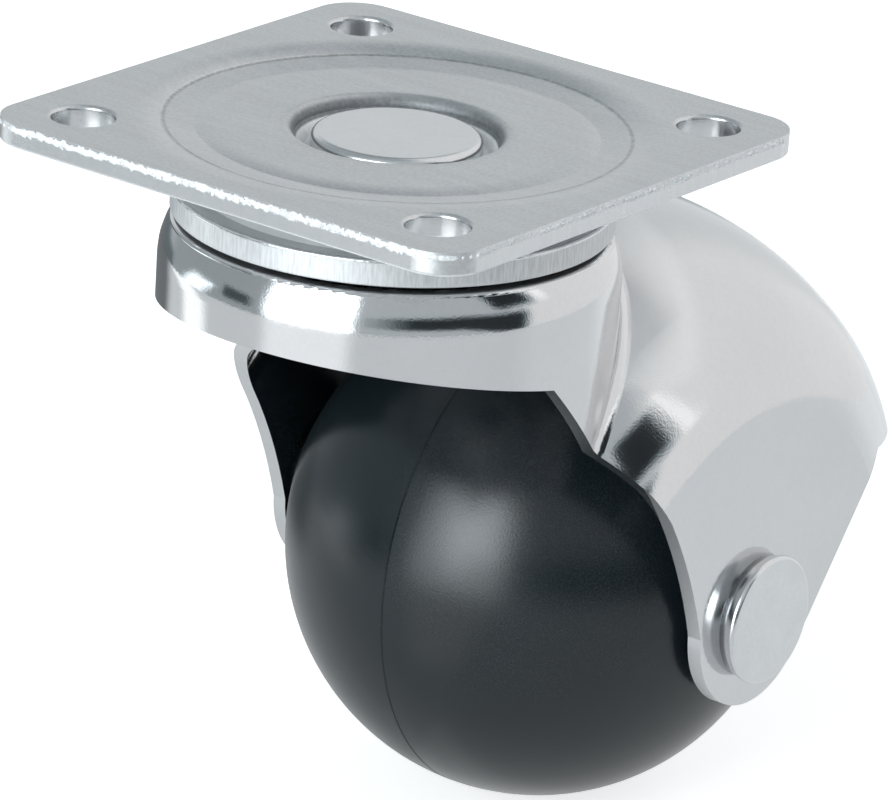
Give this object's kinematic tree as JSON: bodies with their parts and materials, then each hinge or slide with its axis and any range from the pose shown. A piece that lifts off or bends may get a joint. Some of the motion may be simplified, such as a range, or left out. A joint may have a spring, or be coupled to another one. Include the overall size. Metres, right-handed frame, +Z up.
{
  "type": "ball castor",
  "caption": "Plate-mounted swivel castor: a ball-shaped wheel on a riveted axle under a pressed steel hood, turning on ball races under a square screw plate.",
  "frame": {"origin": "centre of the plate's top face, on the swivel axis and at the centre of the screw-hole pattern", "axes": "+Z up, out of the plate's top face; +X along the wheel's axle towards its flat rivet head; +Y to the side where the wheel trails"},
  "size_m": [0.0563, 0.0897, 0.0748],
  "materials": {
    "plate": "satin zinc plate",
    "race": "satin zinc plate",
    "rivet": "satin zinc plate",
    "bearing_ball": "polished steel",
    "fork": "bright zinc plate",
    "wheel": "satin black"
  },
  "bodies": {
    "mount": {"top_plate": "plate", "upper_race_disc": "race", "kingpin": "rivet", "lower_race_cup": "race"},
    "fork": {"fork_hood": "fork", "axle_rivet": "rivet", "axle_sleeve": "race"},
    "wheel": {"wheel_half_left": "wheel", "wheel_half_right": "wheel"},
    "upper_balls": {"upper_bearing_balls": "bearing_ball"},
    "lower_balls": {"lower_bearing_balls": "bearing_ball"}
  },
  "joints": [
    {"name": "swivel", "type": "hinge", "parent": "mount", "child": "fork", "pos_m": [0, 0, 0], "axis": [0, 0, 1], "continuous": true},
    {"name": "wheel_spin", "type": "hinge", "parent": "fork", "child": "wheel", "pos_m": [0, 0.02695, -0.0498], "axis": [1, 0, 0], "continuous": true},
    {"name": "upper_ball_orbit", "type": "hinge", "parent": "mount", "child": "upper_balls", "pos_m": [0, 0, 0], "axis": [0, 0, 1], "continuous": true},
    {"name": "lower_ball_orbit", "type": "hinge", "parent": "mount", "child": "lower_balls", "pos_m": [0, 0, 0], "axis": [0, 0, 1], "continuous": true}
  ],
  "couplings": [
    {"joint": "upper_ball_orbit", "follows": "swivel", "ratio": 0.5},
    {"joint": "lower_ball_orbit", "follows": "swivel", "ratio": 0.5}
  ]
}
